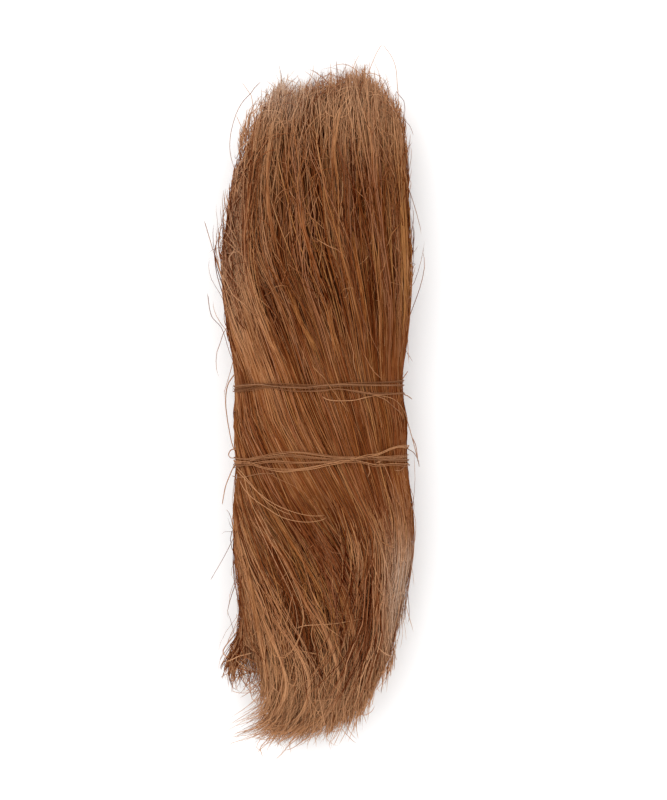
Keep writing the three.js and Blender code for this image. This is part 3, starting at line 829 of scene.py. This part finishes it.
# Single hairs that stand out, as (x, y) with the height over the surface at both ends.
HAIRS = [
    (-1, 2, [(31.2, 104), (31.2, 122), (31, 125.2), (30.4, 132.4), (28.6, 136.8), (24.8, 141.2)]),
    (-1, 3, [(17.6, 118), (17.6, 123.2), (18.8, 128), (20.8, 133.6), (22.8, 138), (24.8, 141.2)]),
    (-1, 2, [(30.4, 112), (30.4, 123.2), (31.6, 122), (33.5, 120.8), (34.1, 116.4), (33.8, 112.8),
     (36, 110), (37.5, 106)]),
    (-2, 2, [(-24, 98), (-25.6, 108.8), (-26.4, 114.4), (-26.8, 118), (-27.6, 122), (-28.8, 124),
     (-31.6, 128)]),
    (-2, 2, [(-26, 84), (-28, 97.6), (-29.2, 103.2), (-30, 106.8), (-32, 110.6), (-33.7, 114.4)]),
    (1, 0, [(-23.2, 127.2), (-28.5, 122.8), (-32, 118.6), (-34.6, 112.4), (-36.2, 104), (-35.6, 96.8),
     (-31, 84)]),
    (0, 0, [(-33, 90), (-35.6, 81.6), (-37.2, 77.6), (-39.6, 70), (-40.2, 64.8), (-39.2, 57.2),
     (-38.6, 52.4), (-35, 42)]),
    (2, 0, [(-46.4, 72), (-45.4, 68.8), (-42.8, 60), (-40, 50.8), (-37.4, 42.8), (-33, 32)]),
    (2, 0, [(-45, 42.8), (-43.4, 33.6), (-39.4, 28.8), (-36, 18.4), (-33.6, 13.6), (-31, 9)]),
    (0, 2, [(-30, -42), (-32.8, -51.2), (-34.8, -55.6), (-38, -62), (-41.2, -67.6), (-44, -72.4)]),
    (1, 1, [(-32, -31.2), (-30.4, -34.4), (-27.2, -38), (-21.2, -42), (-15.2, -45.6), (-9.6, -47.2),
     (-4, -47.6), (0.8, -46.8), (3.2, -45.6)]),
    (1.0, 0.8, [(-34, -26), (-31.2, -28.4), (-27, -33.2), (-22, -38.8), (-17, -42.4), (-11, -45)]),
    (0.8, 1.0, [(-33.6, -27.5), (-29.8, -31), (-24.4, -36.2), (-18, -40.6), (-10, -43.8), (-3, -45.2),
     (2.2, -45)]),
    (0.9, 0.6, [(-30, -29.6), (-28.6, -36), (-25.8, -43), (-21.2, -51), (-17, -57)]),
    (0.9, 1.2, [(-25.3, -43.6), (-19.2, -55.2), (-13.6, -66.4), (-9.2, -76), (-7.6, -79.6), (-6.4, -84.8),
     (-8, -93.2), (-10.8, -98.4), (-14.4, -101.6), (-18.8, -100), (-20.8, -96.8)]),
    (0.7, 1.0, [(-24.6, -42.6), (-18.4, -54), (-12.6, -65.4), (-8.4, -75), (-6.9, -80.4), (-6.2, -86.2),
     (-8.6, -94), (-12, -99.6), (-16, -101)]),
    (0.6, 0.7, [(-26, -45), (-20.2, -57.5), (-15, -68), (-10.4, -78), (-8.8, -86), (-10, -93)]),
    (0.8, 0.8, [(-9.6, -89.6), (-6, -88.4), (-0.8, -88), (5.6, -87.6), (11.2, -86.8), (17.2, -86),
     (24.8, -86.4), (27.2, -87.2)]),
    (0, 1, [(-31, -104), (-32.8, -110.4), (-36.8, -110), (-40, -111.6)]),
    (0, 1, [(-18, -118), (-23.2, -126.4), (-27.2, -128.8), (-30, -130.8)]),
    (0, 1, [(-12, -124), (-19.2, -134), (-21.6, -137.6), (-24.8, -140.8)]),
]

# Pale locks that lie over the others, each along (x, y) with its tone and half width.
PALE_LOCKS = [
    (0.62, 1.5, [(-30, -42), (-21, -52.5), (-13.2, -62.8), (-6, -78), (0, -88.8), (6, -100)]),
    (0.66, 1.9, [(-28, -72), (-20, -92), (-14.8, -104), (-13.2, -112), (-14.8, -120), (-19.2, -126.4),
     (-24.8, -129.6)]),
    (0.6, 1.6, [(-23.2, -78), (-16, -88.8), (-8, -100), (-4.4, -110), (-5.2, -120), (-9.2, -127.2),
     (-14, -130.8)]),
    (0.68, 1.3, [(-8, -72), (-0.8, -84), (4.8, -98), (7.6, -110), (6.4, -120), (2, -128)]),
    (0.58, 1.6, [(4, -64), (10, -78), (13.6, -92), (14.8, -104), (13.6, -116), (10.4, -123)]),
    (0.6, 1.2, [(16.8, -48), (22.4, -64), (24.8, -80), (24.4, -96), (21.6, -106)]),
    (0.58, 1.2, [(-20.8, -40), (-12, -54), (-3.2, -68), (3.2, -80)]),
    (0.6, 1.4, [(-31, -56), (-27.2, -76), (-23.2, -96), (-20.8, -112), (-21.6, -122)]),
    (0.62, 1.3, [(-28, 42), (-23.2, 30), (-18, 20), (-15.5, 13)]),
    (0.6, 1.0, [(-14, 48), (-8, 32), (-2, 20), (0, 13)]),
    (0.62, 1.8, [(0.8, 44), (4.8, 27), (7.6, 13)]),
    (0.62, 1.6, [(-31, 84), (-30, 70), (-26, 54), (-20.8, 40)]),
    (0.64, 1.6, [(9.2, 120), (6.8, 108), (5.6, 96), (8, 82)]),
    (0.6, 1.5, [(19.2, 116), (20.8, 100), (22, 84), (24, 68)]),
    (0.6, 1.4, [(-18, 116), (-20, 100), (-20.8, 84), (-19.2, 68), (-15.2, 52)]),
    (0.58, 1.2, [(-8, 84), (-6.8, 70), (-3.2, 56), (0.8, 42)]),
    (0.56, 1.2, [(12, 68), (14.4, 54), (16.8, 40), (18.4, 26)]),
]


def pale_locks(rng, count, rings):
    """Bundles of count pale fibres each along PALE_LOCKS: paths, radii and facts."""
    t = ring_places(rings)
    paths, tones, warms = [], [], []
    for tone, half_wide, line in PALE_LOCKS:
        first = rng.uniform(0.0, 0.22, (count, 1))
        last = rng.uniform(0.8, 1.0, (count, 1))
        fine = rounded(line, 100)
        at = (first + (last - first) * t) * 100
        x, y = (np.interp(at, np.arange(101), column) for column in fine.T)
        way = unit(np.stack([np.gradient(x, axis=1), np.gradient(y, axis=1)], axis=-1))
        place = np.clip(rng.normal(0, 0.5, (count, 1)), -1, 1)
        off = place * half_wide * (0.65 + 0.6 * np.abs(2 * t - 1) ** 1.5)
        off = off + waves(rng, count, y, (60, 26), 0.2)
        x, y = x - way[..., 1] * off, y + way[..., 0] * off
        # Both ends sink in, but not an end that reaches the tips.
        reaches_tip = abs(line[-1][1]) > 118
        ends = np.where((t > 0.5) & reaches_tip, 0.0, np.abs(2 * t - 1) ** 5)
        lift = 0.25 + 0.55 * (1 - place**2) + rng.normal(0, 0.15, (count, 1)) - 2.0 * ends
        lift = lift * (0.3 + 0.7 * looseness(y))
        paths.append(np.stack([x, y, crown_height(x, y) + lift], axis=-1))
        tones.append(tone + rng.normal(0, 0.08, (count, 1)))
        warms.append(rng.normal(0.55, 0.15) + rng.normal(0, 0.12, (count, 1)))
    points, tones, warms = map(np.concatenate, (paths, tones, warms))
    radii = thickness(rng, len(points), t, 0.15, 0.035)
    return points, radii, facts(rng, points, tones, warms, 0.0, np.zeros((len(points), 1)))


def tie_turns(rng, y, gap, lines):
    """Paths and radii of a tie's turns: three strands, about gap apart, along each line."""
    paths, radii = [], []
    for k, line in enumerate(lines):
        for strand in range(3):
            apart = gap * (strand - 1)
            moved = [(px, py + apart * rng.uniform(0.5, 1.5) + rng.normal(0, 0.17)) for px, py in line]
            lift = 0.6 + 0.16 * ((k + strand) % 4)
            paths.append(whole_turn(moved, lift, y + rng.uniform(-1.6, 1.6)))
            radii.append(np.full(TURN_RINGS + 1, rng.uniform(0.11, 0.17)))
    return np.array(paths), np.array(radii)


def tie_tails(rng):
    """Paths and radii of the tails and loose ends of both ties."""
    tails = np.array([over_surface(line, lift, TAIL_RINGS) for lift, line in TAILS])
    radii = rng.uniform(0.16, 0.23, (len(tails), 1)) * np.linspace(1, 0.7, TAIL_RINGS + 1)
    return tails, radii


def knot_paths(y, strands):
    """A small overhand knot at the right-hand side, where a tie's turns meet."""
    t = np.linspace(0, math.tau, KNOT_RINGS + 1) * 0.985
    centre = section(np.array([y]), np.array([KNOT_ANGLE]), 1.0, 1.6)[0]
    size = 1.1 + 0.45 * np.cos(3 * t)
    paths = []
    for k in range(strands):
        wide = 1.25 + 0.28 * k
        out = 0.55 * np.sin(3 * t) + 0.25 * k
        along, up = size * np.cos(2 * t) * wide, size * np.sin(2 * t) * wide
        paths.append(np.stack([centre[0] + out, centre[1] + along, centre[2] + up], axis=-1))
    return np.array(paths), np.full((strands, KNOT_RINGS + 1), 0.24)


def hair_lines():
    """Paths of the single hairs of HAIRS."""
    rise = [np.linspace(start, end, HAIR_RINGS + 1) for start, end, _ in HAIRS]
    return np.array([over_surface(line, up, HAIR_RINGS) for up, (_, _, line) in zip(rise, HAIRS)])


# ---- the inner body -----------------------------------------------------------------

CORE_COLUMNS = 168
CORE_ROWS = 60
CORE_ENDS = (102.0, -100.0)  # y at its upper and its lower end
CORE_DEPTH = 3.6  # below the hank's surface
CORE_DOME = 14.0  # how far each closed end bulges
CORE_FLOOR = 1.2  # its least height over the floor


def core():
    """The packed fibre inside, painted near black as shade, seen only as darkness between the outer
    fibres.
    """
    obj = cylinder(CORE_COLUMNS, 2, CORE_ROWS, 0)
    obj.name = "inner_fibre"
    shape = bmesh.from_edit_mesh(obj.data)
    bpy.ops.mesh.select_all(action="DESELECT")
    bpy.ops.mesh.select_mode(type="FACE")
    for face in shape.faces:
        face.select_set(abs(face.normal.z) > 0.9)
    for width in (0.16, 0.2, 0.24):
        bpy.ops.mesh.inset(thickness=width)
    bpy.ops.mesh.poke()
    edit_mode(False)
    mesh = obj.data
    at = places(mesh)
    part = (at[:, 2] + 1) / 2
    y = CORE_ENDS[1] + part * (CORE_ENDS[0] - CORE_ENDS[1])
    around = np.arctan2(at[:, 1], at[:, 0])
    share = np.minimum(np.hypot(at[:, 0], at[:, 1]), 1)
    column = np.rint(around / math.tau * CORE_COLUMNS)
    ridge = np.where(column % 2 == 0, 0.5, -0.5) * (0.4 + 0.6 * looseness(y))
    angle = swept_angle(around, 0.0, y)
    full = section(y, angle, 1.0, ridge - CORE_DEPTH)
    middle = section(y, angle, 0.0, 0.0)
    points = middle + (full - middle) * share[:, None]
    past = (1 - share**2) * CORE_DOME
    points[:, 1] += np.where(at[:, 2] > 0.999, past, 0) - np.where(at[:, 2] < -0.999, past, 0)
    points[:, 2] = np.maximum(points[:, 2], CORE_FLOOR)
    set_points(mesh, points)
    layer = mesh.uv_layers.active
    layer.name = "Along"
    corner = np.array([loop.vertex_index for loop in mesh.loops])
    set_map(layer, (around[corner] / math.tau) % 1.0, part[corner])
    mesh.update()
    edit_mode(True)
    bpy.ops.mesh.select_all(action="SELECT")
    bpy.ops.mesh.normals_make_consistent(inside=False)
    edit_mode(False)
    mesh.shade_smooth()
    return obj


# ---- materials ----------------------------------------------------------------------


class Graph:
    """A shader's node tree, filled by one call for each node.

    An input is given as a number, a colour or the socket that it is linked to.
    """

    def __init__(self, tree):
        self.tree = tree

    def feed(self, node, inputs):
        for socket, value in inputs.items():
            if isinstance(value, bpy.types.NodeSocket):
                self.tree.links.new(value, node.inputs[socket])
            else:
                node.inputs[socket].default_value = value

    def add(self, kind, inputs, **settings):
        node = self.tree.nodes.new("ShaderNode" + kind)
        for setting, value in settings.items():
            setattr(node, setting, value)
        self.feed(node, inputs)
        return node

    def maths(self, operation, a, b):
        return self.add("Math", {0: a, 1: b}, operation=operation).outputs[0]

    def remap(self, value, low, high, to_low=0.0, to_high=1.0):
        limits = {"From Min": low, "From Max": high, "To Min": to_low, "To Max": to_high}
        return self.add("MapRange", {"Value": value, **limits}).outputs[0]

    def mix(self, factor, a, b):
        return self.add("Mix", {0: factor, 6: a, 7: b}, data_type="RGBA").outputs[2]


def group(name, inputs, outputs):
    """A new node group: its graph, what its inputs give, and the node of its outputs.

    inputs gives a default to each socket: a number, a colour, or None for a vector.
    outputs gives each socket's kind.
    """
    tree = bpy.data.node_groups.new(name, "ShaderNodeTree")
    for socket, default in inputs.items():
        kind = "Vector" if default is None else "Color" if isinstance(default, tuple) else "Float"
        made = tree.interface.new_socket(name=socket, in_out="INPUT", socket_type="NodeSocket" + kind)
        if default is not None:
            made.default_value = default
    for socket, kind in outputs.items():
        tree.interface.new_socket(name=socket, in_out="OUTPUT", socket_type="NodeSocket" + kind)
    return Graph(tree), tree.nodes.new("NodeGroupInput").outputs, tree.nodes.new("NodeGroupOutput")


SHADES = ("Dark", "Middle", "Pale", "Golden", "Cool", "Bleached")


def streaks_group():
    """Slow changes along each fibre, different on each: value and height, from 0 to 1."""
    graph, given, result = group(
        "fibre streaks",
        {"Vector": None, "Across": 90.0, "Along": 7.0},
        {"Value": "Float", "Height": "Float"},
    )
    parts = graph.add("SeparateXYZ", {0: given["Vector"]}).outputs
    across = graph.maths("MULTIPLY", parts["X"], given["Across"])
    along = graph.maths("MULTIPLY", parts["Y"], given["Along"])
    stretched = graph.add("CombineXYZ", {"X": across, "Y": along}).outputs[0]
    for socket, scale, detail in (("Value", 1.0, 2.0), ("Height", 9.0, 3.0)):
        noise = graph.add("TexNoise", {"Vector": stretched, "Scale": scale, "Detail": detail})
        graph.feed(result, {socket: noise.outputs["Fac"]})
    return graph.tree


def tone_group():
    """A fibre's colour: its own tone and warmth, paler where bleached, with painted shade deep inside."""
    graph, given, result = group(
        "fibre tone",
        {
            "tone": 0.5, "warm": 0.5, "pale": 0.0, "depth": 0.0, "ashen": 0.0,
            "Streak": 0.5, "Painted depth shade": 0.6, "Ash": (0.69, 0.6, 0.5, 1),
            **dict.fromkeys(SHADES, (0, 0, 0, 1)),
        },
        {"Color": "Color", "Roughness": "Float"},
    )
    maths, remap, mix = graph.maths, graph.remap, graph.mix
    streak = maths("SUBTRACT", given["Streak"], 0.5)
    level = maths("ADD", maths("ADD", given["tone"], 0.03), streak)
    level = maths("ADD", level, maths("MULTIPLY", given["pale"], 0.3))
    color = mix(remap(level, 0.05, 0.5), given["Dark"], given["Middle"])
    color = mix(remap(level, 0.5, 0.95), color, given["Pale"])
    # Then each further shade, by its own amount and by how light the fibre is.
    for shade, amount, limits in (
        ("Golden", remap(given["warm"], 0.45, 1.0, 0.0, 0.6), (0.28, 0.75, 0.0, 1.0)),
        ("Cool", remap(given["warm"], 0.4, 0.0, 0.0, 0.7), (0.2, 0.7, 0.0, 1.0)),
        ("Bleached", given["pale"], (0.3, 0.85, 0.05, 0.85)),
        ("Ash", given["ashen"], (0.25, 0.7, 0.0, 1.1)),
    ):
        color = mix(maths("MULTIPLY", amount, remap(level, *limits)), color, given[shade])
    # Painted shade: fibre that lies deep in the bunch is mixed towards Dark.
    color = mix(maths("MULTIPLY", given["depth"], given["Painted depth shade"]), color, given["Dark"])
    graph.feed(result, {"Color": color, "Roughness": remap(level, 0.0, 1.0, 0.66, 0.5)})
    return graph.tree


def new_material(name):
    material = bpy.data.materials.new(name)
    material.use_nodes = True
    return material, Graph(material.node_tree)


def coir_material(name, shades, inner, bump=0.25, per_fibre=True):
    """Coconut fibre in its SHADES, with painted shade of strength inner on what lies deep in the bunch.

    per_fibre is for pieces whose fibres carry facts.
    """
    material, graph = new_material(name)
    uv = graph.add("UVMap", {}, uv_map="Along").outputs[0]
    streaks = graph.add("Group", {"Vector": uv}, node_tree=STREAKS).outputs
    given = {socket: (*shade, 1) for socket, shade in zip(SHADES, shades)}
    given |= {"Painted depth shade": inner, "Streak": streaks["Value"]}
    if per_fibre:
        for fact in ("tone", "warm", "depth", "pale", "ashen"):
            given[fact] = graph.add("Attribute", {}, attribute_name=fact).outputs["Fac"]
    tone = graph.add("Group", {}, node_tree=TONE)
    graph.feed(tone, given)
    relief = {"Strength": bump, "Distance": 0.00005, "Height": streaks["Height"]}
    graph.feed(graph.tree.nodes["Principled BSDF"], {
        "IOR": 1.5,
        "Specular IOR Level": 0.03,
        "Base Color": tone.outputs["Color"],
        "Roughness": tone.outputs["Roughness"],
        "Normal": graph.add("Bump", relief).outputs["Normal"],
    })
    return material


# ---- the hank -----------------------------------------------------------------------

STREAKS = streaks_group()
TONE = tone_group()
# inner is how strongly each material darkens fibre deep in the bunch, as painted shade.
BODY = coir_material(
    "coir",
    [(0.064, 0.0085, 0.0005), (0.195, 0.0505, 0.0112), (0.435, 0.194, 0.082),
     (0.39, 0.161, 0.042), (0.285, 0.112, 0.056), (0.57, 0.3, 0.155)],
    inner=0.34,
)
# The inside's near-black shades are painted shade for fibre deep in the bunch.
PAINTED_SHADE_INSIDE = coir_material(
    "coir_inside_painted_shade",
    [(0.04, 0.01, 0.002), (0.075, 0.021, 0.005), (0.11, 0.036, 0.01),
     (0.08, 0.025, 0.006), (0.06, 0.02, 0.008), (0.1, 0.05, 0.02)],
    inner=0.0, bump=0.6, per_fibre=False,
)
TIE = coir_material(
    "coir_tie",
    [(0.13, 0.048, 0.019), (0.27, 0.112, 0.047), (0.46, 0.22, 0.105),
     (0.46, 0.21, 0.08), (0.27, 0.15, 0.085), (0.5, 0.3, 0.17)],
    inner=0.0,
)


def dress(obj, material, nodes):
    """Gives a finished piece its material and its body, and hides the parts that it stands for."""
    obj.data.materials.append(material)
    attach(obj, "root")
    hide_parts(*nodes)


def bunch_piece(rng, name, template, count, make, *given):
    """A finished piece of the bunch: copies of template, laid by make for this count."""
    made = make(rng, count, template.rings, *given)
    dress(fibre_mesh(name, template, *made), BODY, ["fibre_bunch"])


def laid_facts(rng, count, low, high, ashen=0.0):
    """Facts for strands laid one by one, with tones between low and high."""
    zero = np.zeros((1, 1))
    tone = rng.uniform(low, high, (count, 1))
    warm = rng.uniform(0.2, 0.8, (count, 1))
    return {"tone": tone, "warm": warm, "depth": zero, "pale": zero, "ashen": zero + ashen}


def build_hank():
    rng = np.random.default_rng(44)
    life = {1: 1.0, -1: 1.35}
    outer = {side: Locks(rng, side, 40, 150, 0.0, 1.0, life[side]) for side in (1, -1)}
    inner = {side: Locks(rng, side, 34, 110, 1.2, 1.0, life[side]) for side in (1, -1)}
    outer[0] = Locks(rng, 0, 36, 130, 0.0, 0.3)
    inner[0] = Locks(rng, 0, 30, 100, 0.3, 0.3)
    for locks in (outer, inner):
        # Each groove sinks its tufts and darkens them with painted shade.
        for side, grooves in GROOVES.items():
            for degrees, depth, groove_shade in grooves:
                locks[side].groove(math.radians(degrees), depth, groove_shade)

    dress(core(), PAINTED_SHADE_INSIDE, ["fibre_bunch"])
    bunch_piece(rng, "long_fibres", Template(3, 20), 850, shell_fibres, inner, "long", 1.1, 0.16)
    for layer, locks, depth, rings in (("inner", inner, 1.0, 12), ("outer", outer, 0.7, 16)):
        template = Template(3, rings)
        for reach in ("upper", "lower"):
            name = f"{reach}_fibres_{layer}"
            bunch_piece(rng, name, template, 1430, shell_fibres, locks, reach, depth)
    short_fibre = Template(3, 5)
    bunch_piece(rng, "upper_end_tips", short_fibre, 2900, end_fill, 1, inner[1])
    bunch_piece(rng, "lower_end_tips", short_fibre, 2200, end_fill, -1, inner[-1])
    bunch_piece(rng, "frizz", Template(3, 12), 2260, frizz)
    bunch_piece(rng, "loose_hairs", Template(3, 8), 2380, loose_hairs)
    bunch_piece(rng, "pale_locks", Template(3, 16), 14, pale_locks)

    # Single hairs over the hank are lighter and thicker than those beside it.
    paths = hair_lines()
    over = np.abs(paths[..., 0] - middle_x(paths[..., 1])) < half_width(paths[..., 1]) + 1
    light = (over.mean(axis=1) > 0.8)[:, None]
    radii = np.where(light, 0.16, 0.14) * np.linspace(1, 0.6, HAIR_RINGS + 1)
    found = laid_facts(rng, len(paths), 0.35, 0.7)
    found["tone"] = np.where(light, 0.82, found["tone"])
    found["pale"] = np.where(light, 0.5, 0.0)
    strays = fibre_mesh("stray_fibres", Template(4, HAIR_RINGS), paths, radii, found)
    dress(strays, BODY, ["fibre_bunch"])


def tie_piece(rng, name, nodes, template, made, tones, reference=(0, 0, 1)):
    """A finished piece of the ties, from made's paths and radii, in tones as in laid_facts."""
    found = laid_facts(rng, len(made[0]), *tones)
    dress(fibre_mesh(name, template, *made, found, reference), TIE, nodes)


def build_ties():
    rng = np.random.default_rng(7)
    turns = {
        name: tie_turns(rng, TIE_Y[name], gap, lines)
        for name, gap, lines in (("upper", 0.22, UPPER_TURNS), ("lower", 0.34, LOWER_TURNS))
    }
    tails = tie_tails(rng)
    turn_fibre, knot_fibre = Template(5, TURN_RINGS), Template(5, KNOT_RINGS)
    for name, tones in (("upper", (0.03, 0.46, 0.04)), ("lower", (0.3, 0.88))):
        tie, knot = [f"{name}_tie"], knot_paths(TIE_Y[name], 3)
        tie_piece(rng, f"{name}_tie_turns", tie, turn_fibre, turns[name], tones, (0, 1, 0.05))
        tie_piece(rng, f"{name}_tie_knot", tie, knot_fibre, knot, (0.3, 0.8), (1, 0, 0))
    both = ["upper_tie", "lower_tie"]
    tie_piece(rng, "tie_tails", both, Template(4, TAIL_RINGS), tails, (0.4, 0.9))


build_hank()
build_ties()

# ---- studio -------------------------------------------------------------------------


def floor():
    """A pale plane just under the hank."""
    bpy.ops.object.select_all(action="DESELECT")
    bpy.ops.mesh.primitive_plane_add(size=6, location=(0, 0, -0.0002))
    obj = bpy.context.active_object
    obj.name = "floor"
    material, graph = new_material("pale_floor")
    graph.feed(graph.tree.nodes["Principled BSDF"], {
        "Base Color": (0.93, 0.93, 0.93, 1), "Roughness": 0.9,
        "Emission Color": (1, 1, 1, 1), "Emission Strength": 0.08,
    })
    obj.data.materials.append(material)


def key_light():
    """A soft round light high up, off the upper left of the hank and aimed at it."""
    x, y, z = -0.75, 0.65, 1.5
    bpy.ops.object.light_add(type="AREA", location=(x, y, z))
    light = bpy.context.active_object
    light.name = "key"
    light.data.shape = "DISK"
    light.data.size = 2.0
    light.data.energy = 10
    light.rotation_euler = (math.atan2(math.hypot(x, y), z), 0, math.atan2(-y, -x) - math.pi / 2)


def camera():
    """Straight above the hank, at the height that frames 320 mm of it along Y."""
    centre_x, centre_y, widest_z = 0.00635, 0.002, 0.022
    lens, sensor, framed = 100.0, 36.0, 0.320
    height = widest_z + framed * lens / sensor
    bpy.ops.object.camera_add(location=(centre_x, centre_y, height), rotation=(0, 0, 0))
    made = bpy.context.active_object
    made.data.lens = lens
    made.data.sensor_width = sensor
    made.data.clip_end = 20
    bpy.context.scene.camera = made


floor()
key_light()
world = bpy.data.worlds.new("studio")
bpy.context.scene.world = world
world.use_nodes = True
sky = {"Color": (1, 1, 1, 1), "Strength": 1.2}
Graph(world.node_tree).feed(world.node_tree.nodes["Background"], sky)
bpy.context.scene.view_settings.view_transform = "Standard"
camera()
